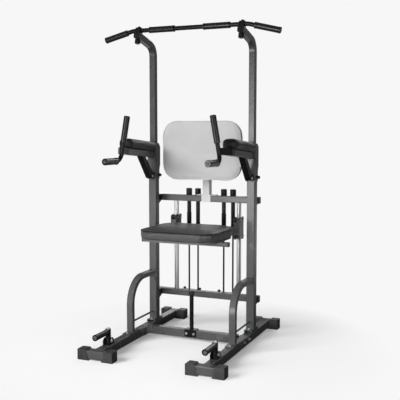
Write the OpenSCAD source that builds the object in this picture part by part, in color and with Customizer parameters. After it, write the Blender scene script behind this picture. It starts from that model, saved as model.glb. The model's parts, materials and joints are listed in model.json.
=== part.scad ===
/* [Base] */
// Depth of the base over the foot caps
base_depth = 1062; // [960:1:1200]
// How far the uprights stand behind the middle of the base
upright_y = 206; // [170:1:240]
// Half the distance between the uprights
half_span = 328; // [315:1:360]
// Outer size of the square base tube
base_tube = 50; // [45:1:56]
// Wall of the steel tubes
tube_wall = 2; // [1.5:0.1:2.5]
// Outer corner radius of the steel tubes
tube_corner = 4; // [3:0.5:5]
// Length of a front foot over its caps
front_foot_len = 220; // [200:1:260]
// Length of a rear foot over its caps
rear_foot_len = 172; // [164:1:260]
// How far the foot caps lift the tubes off the floor
foot_lift = 6; // [4:1:9]
// Wall of a foot cap in front of and behind its tube
foot_cap_wall = 4; // [3:0.5:6]
// Thickness of a foot cap over the end of its tube
foot_cap_end = 5; // [3:0.5:8]
// Length of a foot cap along its top
foot_cap_top = 52; // [40:1:56]
// Length of a foot cap along its bottom
foot_cap_bottom = 70; // [58:1:76]

/* [Front beam] */
// How far the front beam lies in front of the uprights
beam_y = 154; // [140:1:180]
// Height of the middle of the front beam
beam_z = 42; // [38:1:48]
// Height of the front beam
beam_h = 50; // [40:1:56]
// Depth of the front beam
beam_d = 40; // [36:1:46]
// Thickness of the beam's end plates
beam_plate_t = 5; // [3:0.5:8]
// Length of the beam's end plates
beam_plate_len = 120; // [110:1:140]
// Distance between the two bolts of an end plate
beam_bolt_gap = 82; // [76:1:94]

/* [Stop post] */
// Diameter of the stop post
stop_d = 25; // [22:1:30]
// Height of the stop post above the front beam
stop_h = 236; // [180:1:245]
// Diameter of the rubber bumper
bumper_d = 34; // [31:1:40]
// Height of the rubber bumper
bumper_h = 20; // [16:1:30]
// Half width of the post's foot bracket
stop_foot_half = 38; // [34:1:46]

/* [Uprights] */
// Outer size of the lower uprights
lower_tube = 50; // [46:1:54]
// Height of the top of the lower uprights
lower_top = 1185; // [1150:1:1186]
// Outer size of the upper uprights
upper_tube = 38; // [34:1:40]
// Length of upper upright held inside a lower one
upper_insert = 425; // [360:1:520]
// Height of a lower upright's foot
shoe_h = 16; // [12:1:22]
// Length of a lower upright's foot
shoe_len = 120; // [112:1:140]
// Thickness of the plastic collar's flange
collar_t = 8; // [4:1:12]
// Depth of the plastic collar inside the tube
collar_depth = 30; // [20:1:60]
// Sliding clearance of the telescoping tubes
slide_gap = 0.4; // [0.3:0.05:0.6]

/* [Pull-up bar] */
// Height of the middle of the pull-up bar
bar_z = 1864; // [1800:1:1950]
// How far the pull-up bar lies in front of the uprights
bar_reach = 188; // [170:1:260]
// Diameter of the pull-up bar
bar_d = 26; // [24:1:32]
// Half length of the straight middle of the bar
bar_half = 350; // [345:1:362]
// Radius of the bend in the bar
bar_bend_r = 110; // [80:1:120]
// How steeply the ends of the bar drop
bar_droop = 14; // [8:1:20]
// Length of the dropped end of the bar
bar_end_len = 178; // [172:1:220]
// Diameter of the bar's grips
bar_grip_d = 36; // [34:1:42]
// Length of an outer grip
outer_grip_len = 150; // [110:1:160]
// Length of an inner grip
inner_grip_len = 161; // [120:1:180]
// Distance of an inner grip from the middle
inner_grip_x = 93; // [60:1:100]
// Centreline radius of the bend at the top of an upright
top_bend_r = 70; // [55:1:80]
// Angle of the bend at the top of an upright
top_bend = 76; // [70:1:82]
// Length of upright in front of the bar
top_overhang = 22; // [18:1:40]
// Width of the saddle that holds the bar
saddle_w = 34; // [28:1:36]
// Thickness of the saddle
saddle_t = 4; // [3:0.5:6]
// Diameter of the knobs under the bar
knob_d = 34; // [26:1:36]
// Height of the knobs under the bar
knob_h = 30; // [20:1:36]

/* [Front braces] */
// Width of a front brace
brace_w = 40; // [34:1:46]
// Thickness of a front brace
brace_t = 30; // [24:1:36]
// How far a brace's front face lies in front of the uprights
brace_reach = 335; // [300:1:360]
// Height of the top of a brace
brace_top = 390; // [360:1:440]
// Centreline radius of the bend in a brace
brace_bend_r = 150; // [120:1:170]
// Thickness of a brace's plates
brace_plate_t = 6; // [4:0.5:8]
// Length of a brace's foot plate
brace_foot_len = 122; // [116:1:140]
// Diameter of the tie rod behind a brace
tie_d = 12; // [10:1:16]
// Height of the tie rod
tie_z = 118; // [100:1:140]

/* [Push-up handles] */
// How far a handle's post lies behind the front end of the base
push_back = 151; // [140:1:175]
// Height of the grip
push_z = 130; // [122:1:140]
// Diameter of the grip
push_grip_d = 33; // [30:1:38]
// Length of the grip
push_grip_len = 128; // [100:1:130]
// Diameter of the post
push_post_d = 30; // [26:1:34]
// Diameter of the steel core in the grip
push_core_d = 22; // [18:1:26]
// Height of the bracket's side plates
push_cheek_h = 40; // [34:1:44]
// Length of the bracket
push_bracket_len = 56; // [48:1:64]
// Thickness of the bracket
push_plate_t = 4; // [3:0.5:6]

/* [Dip arms] */
// Height of the bottom of an arm's sleeve
sleeve_z = 968; // [950:1:985]
// Height of an arm's sleeve
sleeve_h = 222; // [218:1:240]
// Wall of an arm's sleeve
sleeve_wall = 4.5; // [3:0.5:6]
// Height of the arm's axis at the sleeve
arm_z = 1122; // [1110:1:1135]
// Upward tilt of an arm
arm_tilt = 4.5; // [2:0.5:7]
// Outer size of an arm's square tube
arm_tube = 40; // [36:1:44]
// Length of an arm's tube
arm_len = 340; // [320:1:350]
// Width of an arm pad
arm_pad_w = 88; // [80:1:96]
// Thickness of an arm pad over its crown
arm_pad_t = 55; // [46:1:60]
// Length of an arm pad
arm_pad_len = 342; // [300:1:350]
// Distance of the pad from the sleeve
arm_pad_start = 14; // [8:1:24]
// Offset of each arm pad towards the middle of the tower
arm_pad_in = 4; // [0:1:8]
// Width of the diagonal brace below an arm
strut_w = 36; // [30:1:40]
// Thickness of the diagonal brace's plates
strut_t = 3; // [2.5:0.5:5]
// Distance along the arm to the top of the brace's front edge
strut_reach = 160; // [145:1:170]

/* [Dip handles] */
// Diameter of a handle's tube
handle_d = 25; // [22:1:28]
// How far a handle stands in front of the uprights
handle_y = 462; // [450:1:480]
// How far the foot of a handle lies inside its upright
handle_in = 22; // [16:1:28]
// Height of a handle's lower grip
handle_z = 1096; // [1085:1:1108]
// Height of a handle above its lower grip
handle_h = 254; // [230:1:280]
// Reach of the lower grip
handle_reach = 175; // [160:1:200]
// Centreline radius of the bend
handle_bend_r = 45; // [35:1:48]
// Inward lean of a handle
handle_lean = 10; // [5:1:14]
// Diameter of the upright grip
upper_grip_d = 35; // [30:1:38]
// Length of the upright grip
upper_grip_len = 152; // [120:1:158]
// Diameter of the lower grip
lower_grip_d = 38; // [32:1:40]
// Length of the lower grip
lower_grip_len = 128; // [100:1:129]
// Height of the block that joins a handle to its arm
stub_h = 38; // [32:1:38]

/* [Cross bars] */
// Outer size of the square cross bars
cross_tube = 40; // [36:1:44]
// Gap between the uprights and the cross bars
cross_gap = 47; // [40:1:54]
// Height of the middle of the upper cross bar
upper_bar_z = 846; // [830:1:870]
// Height of the middle of the lower cross bar
lower_bar_z = 233; // [200:1:240]
// How far the cross bars reach past the middle of each upright, over their caps
cross_past = 19; // [14:1:24]
// Thickness of the cross bars' end caps
cross_cap = 3; // [2:0.5:6]
// Thickness of the brackets' plates
bracket_t = 4; // [3:0.5:5]
// How far a bracket's gusset drops at the upright
gusset_drop = 20; // [10:1:30]

/* [Guide rods and bands] */
// Diameter of the guide rods
rod_d = 28; // [26:1:29]
// Wall of the guide rods
rod_wall = 3; // [2:0.5:4]
// Distance of a guide rod from the middle
rod_x = 213; // [208:1:220]
// Clearance of a rod in a hole
rod_fit = 0.1; // [0.05:0.01:0.15]
// Distance of the inner bands from the middle
band_in_x = 89; // [84:1:94]
// Distance of the outer bands from the middle
band_out_x = 151; // [147:1:156]
// How far the bands hang behind the cross bars' middle
band_back = 60; // [56:1:64]
// Outer diameter of a band
band_d = 26; // [22:1:28]
// Bore of a band
band_bore = 14; // [13:0.5:15]
// Diameter of the thin rods through the bands
band_rod_d = 11; // [9:0.5:12]
// Diameter of the caps over the bands
band_cap_d = 38; // [34:1:42]
// Height of the caps over the bands
band_cap_h = 51; // [40:1:60]
// Thickness of the plates that hold the thin rods
anchor_t = 6; // [4:0.5:8]
// Diameter of the pegs on the lower plates
peg_d = 12; // [9:1:14]
// Height of the pegs on the lower plates
peg_h = 22; // [16:1:28]

/* [Carriage] */
// Height of the bottom of the sliders
slider_z = 604; // [590:1:620]
// Height of the sliders
slider_h = 130; // [120:1:136]
// Width of the sliders
slider_w = 39; // [38:1:42]
// Wall of the sliders
slider_wall = 2.5; // [2:0.5:3]
// Distance of the sliders' front faces from the rods' axes
slider_front = 46; // [44:1:50]
// Depth of the sliders
slider_depth = 76; // [74:1:80]
// Outer diameter of the grooved rollers
roller_d = 36; // [34:1:38]
// Distance between a roller's axis and the rod's axis
roller_offset = 24; // [23:0.5:25]
// Distance of the rollers' axes from the ends of the sliders
roller_inset = 12; // [11:1:15]
// Gap beside the rollers and between groove and rod
roller_gap = 0.4; // [0.3:0.05:0.5]
// Diameter of the roller axles
axle_d = 8; // [7:0.5:9]
// Thickness of the axles' heads
axle_head = 3; // [2:0.5:4]
// Depth of the tube between the sliders
link_d = 25; // [22:1:28]
// Height of the tube between the sliders
link_h = 40; // [36:1:44]
// Height of the middle of that tube above the sliders' bottom
link_z = 56; // [54:1:60]
// Thickness of the plate that catches the bands
catch_t = 6; // [4:0.5:8]
// Half width of the plate that catches the bands
catch_half = 182; // [178:1:186]
// Height of the short sleeves at the bands' ends
ferrule_h = 16; // [10:1:24]
// Height of the tall sleeves on the bands in use
clip_h = 82; // [60:1:90]
// Wall of the tall sleeves
clip_wall = 1.5; // [1.2:0.1:2]

/* [Seat] */
// Width of the seat pad
seat_w = 500; // [460:1:510]
// Depth of the seat pad
seat_d = 428; // [400:1:440]
// How far the middle of the seat lies in front of the uprights
seat_y = 218; // [210:1:226]
// Height of the seat pad's side
seat_side = 51; // [40:1:60]
// Height of the seat pad's crown
seat_crown = 13; // [8:1:18]
// Corner radius of the seat pad
seat_corner = 118; // [90:1:140]
// Thickness of the board under the pad
board_t = 12; // [9:1:16]
// How far the board lies inside the pad's edge
board_inset = 16; // [12:1:24]
// Height of the bottom of the tubes under the seat
seat_tube_z = 605; // [600:1:612]
// Outer size of the tubes under the seat
seat_tube = 26; // [24:1:30]
// Half length of the tube across the seat, over its caps
seat_tube_half = 278; // [262:1:284]
// How far that tube lies in front of the uprights
seat_tube_y = 252; // [240:1:262]
// Width of the beam along the middle of the seat
spine_w = 40; // [34:1:46]

/* [Backrest] */
// Width of the backrest pad
back_w = 530; // [460:1:550]
// Height of the backrest pad
back_h = 373; // [330:1:390]
// Thickness of the backrest pad over its crown
back_t = 60; // [50:1:66]
// Corner radius of the backrest pad
back_corner = 102; // [80:1:130]
// Height of the middle of the backrest
back_z = 1149; // [1130:1:1170]
// How far the pad's back lies behind the uprights' middle
back_y = 35; // [30:1:38]
// Thickness of the board behind the pad
back_board_t = 10; // [8:1:12]
// Outer size of the backrest's post
post_tube = 45; // [42:1:48]
// Clearance of the post on its spigot
post_gap = 0.5; // [0.3:0.1:0.8]
// Length of the spigot
spigot_len = 160; // [140:1:200]
// Half width of the saddle on the cross bar
back_saddle_half = 31; // [28:1:36]
// Half length of the saddle's top flange
back_flange_half = 66; // [55:1:68]
// Thickness of the saddle
back_saddle_t = 4; // [3:0.5:6]

/* [Fasteners] */
// Diameter of the bolts
bolt_d = 8; // [7:0.5:9]
// Diameter of the bolt heads
bolt_head_d = 14; // [12:1:16]
// Height of the bolt heads
bolt_head_h = 8; // [6:1:10]
// Clearance of a bolt in its hole
bolt_fit = 0.2; // [0.1:0.05:0.3]

/* [Hidden] */
$fn = 48;

frame_grey = [0.24, 0.25, 0.26];
black = [0.06, 0.06, 0.065];
vinyl = [0.09, 0.09, 0.095];
chrome = [0.80, 0.81, 0.83];
pale = [0.72, 0.72, 0.73];
board = [0.20, 0.20, 0.20];

// Base heights and places, with the uprights' plane at y = 0
front_end = -base_depth / 2 - upright_y;
rear_end = base_depth / 2 - upright_y;
foot_depth = base_tube + 2 * foot_cap_wall;
foot_cap_h = base_tube + 2 * foot_lift;
foot_cap_bevel = 3;
front_foot_y = front_end + foot_depth / 2;
rear_foot_y = rear_end - foot_depth / 2;
foot_cap_gap = 0.3;
push_y = -front_end - push_back;
cross_half = half_span + cross_past;
rail_top = foot_lift + base_tube;
rail_mid = foot_lift + base_tube / 2;
rail_in = half_span - base_tube / 2;
rail_out = half_span + base_tube / 2;
beam_front = -beam_y - beam_d / 2;
beam_top = beam_z + beam_h / 2;
shoe_top = rail_top + shoe_h;
shoe_t = 4;
lower_face = lower_tube / 2;

// Bolts of the base
end_bolt_y = [-beam_y - beam_bolt_gap / 2, -beam_y + beam_bolt_gap / 2];
shoe_bolt_y = (lower_face + shoe_len / 2) / 2;
brace_rear = -brace_reach + brace_t;
brace_foot_front = -brace_reach - brace_foot_len / 2 + brace_t / 2;
brace_bolt_y = [brace_foot_front + bolt_head_d, brace_foot_front + brace_foot_len - bolt_head_d];
stop_bolt_x = stop_foot_half - bolt_head_d;

// Top of the tower: the bar rests on the upper face of the bent uprights
top_dir = [-sin(top_bend), cos(top_bend)];
top_up = [cos(top_bend), sin(top_bend)];
top_face = upper_tube / 2 + rod_fit;
bar_seat = top_face + bar_d / 2;
seat_pt = [-bar_reach, bar_z] - bar_seat * top_up;
arc_dy = -top_bend_r * (1 - cos(top_bend));
arc_dz = top_bend_r * sin(top_bend);
top_run = (seat_pt[0] - arc_dy) / top_dir[0];
bend_z = round(100 * (seat_pt[1] - top_run * top_dir[1] - arc_dz)) / 100;
upper_bottom = lower_top - upper_insert;
bend_lap = 2;
bend_d = bar_d - 0.4;

// Cross bars, rods and bands
cross_front = lower_face + cross_gap;
cross_y = cross_front + cross_tube / 2;
cross_back = cross_front + cross_tube;
upper_bar_top = upper_bar_z + cross_tube / 2;
upper_bar_bottom = upper_bar_z - cross_tube / 2;
lower_bar_top = lower_bar_z + cross_tube / 2;
lower_bar_bottom = lower_bar_z - cross_tube / 2;
band_y = cross_y + band_back;
band_xs = [band_in_x, band_out_x];
upper_anchor_z = upper_bar_z;
lower_anchor_z = lower_bar_z - cross_tube / 4;
anchor_margin = band_cap_d / 2 + peg_d;
anchor_x0 = band_in_x - anchor_margin;
anchor_w = band_out_x - band_in_x + 2 * anchor_margin;
anchor_back = band_y + band_cap_d / 2 + 4;
peg_y = cross_back + anchor_t + peg_d;

// Carriage
slider_y = cross_y - slider_front;
slider_cut = 10;
web_drop = 26;
slider_in = rod_x - slider_w / 2;
slider_out = rod_x + slider_w / 2;
roller_w = slider_w - 2 * slider_wall - 2 * roller_gap;
roller_zs = [slider_z + roller_inset, slider_z + slider_h - roller_inset];
roller_ys = [cross_y - roller_offset, cross_y + roller_offset];
link_y = slider_y + slider_wall + roller_gap;
link_mid = slider_z + link_z;
link_bottom = link_mid - link_h / 2;
catch_z = link_mid;
catch_top = catch_z + catch_t;
catch_back = band_y + band_d / 2 + 10;
seat_tube_top = seat_tube_z + seat_tube;
seat_pad_z = seat_tube_top + board_t;
riser_t = 8;
spine_reach = seat_tube_y - seat_tube / 2 + 1;

// Dip arms and backrest
sleeve_in = lower_face + slide_gap;
sleeve_out = sleeve_in + sleeve_wall;
arm_drop = arm_tube / 2;
stub_reach = handle_y - arm_len - sleeve_out;
stub_half = arm_tube / 2 + 4;
stub_tip = handle_in + handle_d / 2 + 4;
grip_rim = 5;
grip_flare = 3;
grip_end = 3;
post_in = post_tube - 2 * tube_wall;
spigot_tube = post_in - 2 * post_gap;
back_flange_z = upper_bar_top + back_saddle_t;
post_front = cross_y - post_tube / 2;

// Points of a rectangle with round corners
function quarter_x(q) = q == 0 || q == 3 ? 1 : -1;
function quarter_y(q) = q < 2 ? 1 : -1;
function round_rect(a, b, r, n = 3) = [for (q = [0:3]) for (i = [0:n]) let (t = 90 * q + 90 * i / n)
    [quarter_x(q) * (a / 2 - r) + r * cos(t), quarter_y(q) * (b / 2 - r) + r * sin(t)]];

// A round rectangle with points along its sides too, drawn in between its corners
function side_point(p, q, i, m) = p + (q - p) * i / m;
function ring_points(a, b, r, n, m) = [for (q = [0:3]) each concat(
    [for (i = [0:n]) let (t = 90 * q + 90 * i / n)
        [quarter_x(q) * (a / 2 - r) + r * cos(t), quarter_y(q) * (b / 2 - r) + r * sin(t)]],
    [for (i = [1:m - 1]) let (u = (q + 1) % 4, t = 90 * (q + 1))
        side_point([quarter_x(q) * (a / 2 - r) + r * cos(t), quarter_y(q) * (b / 2 - r) + r * sin(t)],
            [quarter_x(u) * (a / 2 - r) + r * cos(t), quarter_y(u) * (b / 2 - r) + r * sin(t)], i, m)])];
function drawn_in(p, a, b, d) = [p[0] * (1 - 2 * d / a * max(0, 1 - pow(2 * p[1] / b, 2))),
    p[1] * (1 - 2 * d / b * max(0, 1 - pow(2 * p[0] / a, 2)))];

module at_upright() translate([0, upright_y, 0]) children();
module both_sides() {
    children();
    mirror([1, 0, 0]) children();
}
module left_side() mirror([1, 0, 0]) children();

// Square or rectangular steel tube, along each axis
module tube_profile(a, b) difference() {
    polygon(round_rect(a, b, tube_corner));
    polygon(round_rect(a - 2 * tube_wall, b - 2 * tube_wall, tube_corner - tube_wall / 2));
}
module along_x(len) rotate([90, 0, 90]) linear_extrude(len) children();
module along_y(len) translate([0, len, 0]) rotate([90, 0, 0]) linear_extrude(len) children();
module yz_plate(x, t) translate([x, 0, 0]) rotate([90, 0, 90]) linear_extrude(t) children();

// Bolt whose shank points down from z = 0, and the hole for it
module bolt(len) {
    cylinder(d = bolt_head_d, h = bolt_head_h * 0.75);
    translate([0, 0, bolt_head_h * 0.75])
        cylinder(d1 = bolt_head_d, d2 = bolt_head_d * 0.7, h = bolt_head_h / 4);
    translate([0, 0, -len]) cylinder(d = bolt_d, h = len + 0.5);
}
module bolt_hole(len) translate([0, 0, -len]) cylinder(d = bolt_d + 2 * bolt_fit, h = len + 1);

// Every place where a bolt goes into the right half of the frame
module frame_bolt_places() at_upright() {
    for (y = end_bolt_y) translate([rail_out, y, rail_mid + 6]) rotate([0, 90, 0]) children();
    for (s = [-1, 1]) translate([half_span, s * shoe_bolt_y, shoe_top]) children();
    for (y = brace_bolt_y) translate([half_span, y, rail_top + brace_plate_t]) children();
    translate([stop_bolt_x, beam_front - saddle_t, beam_z + 4]) rotate([90, 0, 0]) children();
    for (s = [-1, 1]) translate([half_span + s * sleeve_out, lower_face / 2, sleeve_z + 24])
        rotate([0, 90 * s, 0]) children();
}
frame_bolt_len = sleeve_wall + slide_gap + tube_wall;
module frame_bolt_holes() both_sides() frame_bolt_places() bolt_hole(frame_bolt_len + 1);

// A padded solid on z = 0: drawn-in sides, a seam at the height of the side and a crown
cushion_arc = 5;
cushion_side = 4;
module cushion(a, b, side, crown, corner, draw, tuck) {
    reach = min(a, b) / 2;
    profile = concat(
        [[tuck, 0], [tuck * 0.45, side * 0.08], [tuck * 0.1, side * 0.3], [0, side * 0.6],
            [tuck * 0.12, side * 0.86], [tuck * 0.3, side]],
        [for (u = [0.05, 0.14, 0.28, 0.46, 0.68, 0.9])
            [tuck * 0.3 + u * (reach - tuck), side + crown * (1 - pow(1 - u, 2.4))]]);
    n = 4 * (cushion_arc + cushion_side);
    m = len(profile);
    points = concat(
        [for (p = profile) let (w = a - 2 * p[0], d = b - 2 * p[0], r = max(corner - p[0], 3 + corner * 0.02))
            for (q = ring_points(w, d, min(r, w / 2 - 1, d / 2 - 1), cushion_arc, cushion_side))
                let (s = drawn_in(q, w, d, draw * (1 - p[0] / reach))) [s[0], s[1], p[1]]],
        [[0, 0, 0], [0, 0, side + crown]]);
    faces = concat(
        [for (k = [0:m - 2]) for (i = [0:n - 1]) let (j = (i + 1) % n)
            each [[k * n + i, (k + 1) * n + i, k * n + j], [k * n + j, (k + 1) * n + i, (k + 1) * n + j]]],
        [for (i = [0:n - 1]) [n * m, i, (i + 1) % n]],
        [for (i = [0:n - 1]) [n * m + 1, (m - 1) * n + (i + 1) % n, (m - 1) * n + i]]);
    polyhedron(points, faces);
}

// Base
module base_rail_right() color(frame_grey) at_upright() difference() {
    union() {
        translate([half_span, front_foot_y + base_tube / 2, rail_mid])
            along_y(rear_foot_y - front_foot_y - base_tube) tube_profile(base_tube, base_tube);
        for (f = [[front_foot_y, front_foot_len], [rear_foot_y, rear_foot_len]])
            translate([half_span - f[1] / 2 + foot_cap_end, f[0], rail_mid])
                along_x(f[1] - 2 * foot_cap_end) tube_profile(base_tube, base_tube);
    }
    translate([0, -upright_y, 0]) frame_bolt_holes();
}
module base_rail_left() left_side() base_rail_right();

module foot_cap() difference() {
    translate([0, foot_depth / 2, 0]) rotate([90, 0, 0]) linear_extrude(foot_depth) polygon([
        [0, 0], [foot_cap_bottom, 0], [foot_cap_top, foot_cap_h], [foot_cap_bevel, foot_cap_h],
        [0, foot_cap_h - foot_cap_bevel]]);
    translate([foot_cap_end, 0, foot_lift + base_tube / 2])
        along_x(foot_cap_bottom) polygon(round_rect(base_tube, base_tube, tube_corner));
}
module foot_caps() color(black) both_sides() at_upright() difference() {
    for (f = [[front_foot_y, front_foot_len], [rear_foot_y, rear_foot_len]]) translate([half_span, f[0], 0]) {
        translate([-f[1] / 2, 0, 0]) foot_cap();
        translate([f[1] / 2, 0, 0]) mirror([1, 0, 0]) foot_cap();
    }
    translate([half_span, front_foot_y, rail_mid]) along_y(rear_foot_y - front_foot_y)
        square(base_tube + 2 * foot_cap_gap, center = true);
}

module front_beam() color(frame_grey) difference() {
    at_upright() {
        translate([-rail_in + beam_plate_t, -beam_y, beam_z])
            along_x(2 * (rail_in - beam_plate_t)) tube_profile(beam_d, beam_h);
        both_sides() translate([rail_in - beam_plate_t, -beam_y, rail_mid]) along_x(beam_plate_t)
            polygon(round_rect(beam_plate_len, base_tube - 4, 10));
    }
    frame_bolt_holes();
}

module stop_post() color(black) difference() {
    at_upright() {
        difference() {
            translate([-stop_foot_half, beam_front - saddle_t, beam_z - beam_h / 3])
                cube([2 * stop_foot_half, beam_d + saddle_t, beam_h * 5 / 6 + saddle_t]);
            translate([-stop_foot_half - 1, beam_front, beam_z - beam_h])
                cube([2 * stop_foot_half + 2, beam_d + 1, beam_h * 1.5]);
        }
        translate([0, -beam_y, beam_top + saddle_t]) difference() {
            cylinder(d = stop_d, h = stop_h - saddle_t - bumper_h / 2);
            translate([0, 0, -1]) cylinder(d = stop_d - 2 * tube_wall, h = stop_h);
        }
    }
    frame_bolt_holes();
}
bumper_round = 4;
module stop_bumper() color(black) at_upright() translate([0, -beam_y, beam_top + stop_h - bumper_h])
    difference() {
        union() {
            cylinder(d = bumper_d, h = bumper_h - bumper_round);
            translate([0, 0, bumper_h - bumper_round])
                cylinder(d1 = bumper_d, d2 = bumper_d - 2 * bumper_round, h = bumper_round);
        }
        translate([0, 0, -1]) cylinder(d = stop_d + 2 * rod_fit, h = bumper_h / 2 + 1);
    }

// Uprights
module lower_upright_right() color(frame_grey) difference() {
    at_upright() translate([half_span, 0, 0]) {
        translate([0, 0, rail_top]) linear_extrude(lower_top - rail_top) tube_profile(lower_tube, lower_tube);
        difference() {
            translate([-base_tube / 2, -shoe_len / 2, rail_top]) cube([base_tube, shoe_len, shoe_h]);
            translate([-base_tube / 2 + shoe_t, -shoe_len / 2 - 1, rail_top - 1])
                cube([base_tube - 2 * shoe_t, shoe_len + 2, shoe_h + 1 - shoe_t]);
            translate([0, 0, rail_top - 1]) linear_extrude(shoe_h + 2)
                polygon(round_rect(lower_tube - tube_wall, lower_tube - tube_wall, tube_corner));
        }
    }
    frame_bolt_holes();
}
module lower_upright_left() left_side() lower_upright_right();

collar_bore = upper_tube + 2 * slide_gap;
collar_plug = lower_tube - 2 * tube_wall - 2 * rod_fit;
module upright_collars() color(black) both_sides() at_upright() translate([half_span, 0, lower_top])
    difference() {
        union() {
            linear_extrude(collar_t) polygon(round_rect(lower_tube, lower_tube, tube_corner));
            translate([0, 0, -collar_depth]) linear_extrude(collar_depth + 1)
                polygon(round_rect(collar_plug, collar_plug, tube_corner - tube_wall / 2));
        }
        translate([0, 0, -collar_depth - 1]) linear_extrude(collar_depth + collar_t + 2)
            polygon(round_rect(collar_bore, collar_bore, tube_corner));
    }

module front_brace_right() color(frame_grey) difference() {
    at_upright() translate([half_span, 0, 0]) {
        arc_y = -brace_reach + brace_t / 2 + brace_bend_r;
        arc_z = brace_top - brace_t / 2 - brace_bend_r;
        foot_top = rail_top + brace_plate_t;
        translate([0, -brace_reach + brace_t / 2, foot_top])
            linear_extrude(arc_z - foot_top) tube_profile(brace_w, brace_t);
        translate([0, arc_y, arc_z]) rotate([90, 0, 90]) rotate([0, 0, 90])
            rotate_extrude(angle = 90, $fn = 96) translate([brace_bend_r, 0]) tube_profile(brace_t, brace_w);
        translate([0, arc_y, brace_top - brace_t / 2])
            along_y(-lower_face - brace_plate_t - arc_y) tube_profile(brace_w, brace_t);
        translate([-base_tube / 2, brace_foot_front, rail_top])
            cube([base_tube, brace_foot_len, brace_plate_t]);
        translate([0, -lower_face - brace_plate_t, brace_top - brace_t / 2]) along_y(brace_plate_t)
            polygon(round_rect(brace_w, brace_t + 30, tube_corner));
    }
    frame_bolt_holes();
}
module front_brace_left() left_side() front_brace_right();

module tie_rods() color(frame_grey) both_sides() at_upright() translate([half_span, brace_rear, tie_z]) {
    len = -lower_face - brace_rear;
    rotate([-90, 0, 0]) cylinder(d = tie_d, h = len);
    for (y = [0, len - tie_d / 2]) translate([0, y, 0]) rotate([-90, 0, 0])
        cylinder(d = tie_d * 1.7, h = tie_d / 2, $fn = 6);
}

// Push-up handles
push_cheek = push_post_d / 2 + 1;
push_half = push_cheek + push_plate_t;
push_pin_z = push_cheek_h * 0.6;
push_head = 5;
push_long = push_bracket_len / 2;
push_round = push_bracket_len / 4;
module pushup_handle_right() color(black) at_upright() translate([half_span, -push_y, rail_top]) {
    translate([-push_half, -push_long, 0]) cube([2 * push_half, push_bracket_len, push_plate_t]);
    for (s = [0, 1]) mirror([s, 0, 0]) {
        yz_plate(push_cheek, push_plate_t) polygon([[-push_long, 0], [push_long, 0],
            [push_long, push_cheek_h - push_round], [push_long - push_round, push_cheek_h],
            [push_round - push_long, push_cheek_h], [-push_long, push_cheek_h - push_round]]);
        translate([push_half, 0, push_pin_z]) rotate([0, 90, 0]) cylinder(d = bolt_head_d, h = push_head);
    }
    translate([-push_half, 0, push_pin_z]) rotate([0, 90, 0]) cylinder(d = bolt_d, h = 2 * push_half);
    translate([0, 0, push_plate_t])
        cylinder(d = push_post_d, h = push_z - rail_top - push_plate_t + push_grip_d / 2);
    translate([0, 0, push_z - rail_top]) {
        rotate([90, 0, 0]) cylinder(d = push_core_d, h = push_post_d / 2 + push_grip_len);
        translate([0, 0, push_grip_d / 2]) cylinder(d = bolt_head_d, h = push_head);
    }
}
module pushup_handle_left() left_side() pushup_handle_right();
module pushup_grips() color(black) both_sides() at_upright()
    translate([half_span, -push_y - push_post_d / 2, push_z]) rotate([90, 0, 0]) difference() {
        union() {
            cylinder(d = push_grip_d, h = push_grip_len);
            for (z = [0, push_grip_len - grip_rim]) translate([0, 0, z])
                cylinder(d = push_grip_d + grip_flare, h = grip_rim);
        }
        translate([0, 0, -1]) cylinder(d = push_core_d + 2 * rod_fit, h = push_grip_len + 2);
    }

// Dip arms, drawn along the tilted axis of the tube
module arm_axis() at_upright() translate([half_span, -sleeve_out, arm_z])
    rotate([-arm_tilt, 0, 0]) children();
module dip_arm_right() color(frame_grey) difference() {
    union() {
        at_upright() translate([half_span, 0, 0]) {
            for (s = [0, 1]) mirror([s, 0, 0]) yz_plate(sleeve_in, sleeve_wall) polygon([
                [-sleeve_out, sleeve_z], [lower_face - 6, sleeve_z], [lower_face - 6, sleeve_z + 60],
                [lower_face + 5, sleeve_z + 90], [lower_face + 5, sleeve_z + sleeve_h - 20],
                [lower_face - 12, sleeve_z + sleeve_h], [-sleeve_out, sleeve_z + sleeve_h]]);
            translate([-sleeve_in - 1, -sleeve_out, sleeve_z])
                cube([2 * sleeve_in + 2, sleeve_wall, sleeve_h]);
        }
        difference() {
            arm_axis() translate([0, -arm_len, 0]) along_y(arm_len + arm_tube)
                tube_profile(arm_tube, arm_tube);
            at_upright() translate([half_span - arm_tube, -sleeve_out + sleeve_wall / 2, sleeve_z])
                cube([2 * arm_tube, 2 * arm_tube, sleeve_h]);
        }
    }
    frame_bolt_holes();
}
module dip_arm_left() left_side() dip_arm_right();

strut_foot_z = sleeve_z + 8;
strut_foot = 44;
strut_deep = 46;
function arm_under(d) = [-sleeve_out - d * cos(arm_tilt) - arm_drop * sin(arm_tilt),
    arm_z + d * sin(arm_tilt) - arm_drop * cos(arm_tilt)];
strut_points = [arm_under(strut_reach), [-sleeve_out - strut_foot, strut_foot_z],
    [-sleeve_out, strut_foot_z - 6], [-sleeve_out, strut_foot_z + 30],
    [-sleeve_out - strut_foot / 2, strut_foot_z + 36], arm_under(strut_reach - strut_deep)];
strut_along = (strut_points[1] - strut_points[0]) / norm(strut_points[1] - strut_points[0]);
strut_in = [-strut_along[1], strut_along[0]] * strut_t;
module arm_struts() color(black) both_sides() at_upright() {
    for (x = [-strut_w / 2, strut_w / 2 - strut_t]) yz_plate(half_span + x, strut_t) polygon(strut_points);
    yz_plate(half_span - strut_w / 2, strut_w) intersection() {
        polygon(strut_points);
        polygon([strut_points[0], strut_points[1], strut_points[1] + strut_in, strut_points[0] + strut_in]);
    }
}

module arm_pad_right() color(vinyl) arm_axis()
    translate([-arm_pad_in, -arm_pad_start - arm_pad_len / 2, arm_drop])
        cushion(arm_pad_w, arm_pad_len, arm_pad_t * 0.8, arm_pad_t * 0.2, 18, 1.5, 4);
module arm_pad_left() left_side() arm_pad_right();

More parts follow.
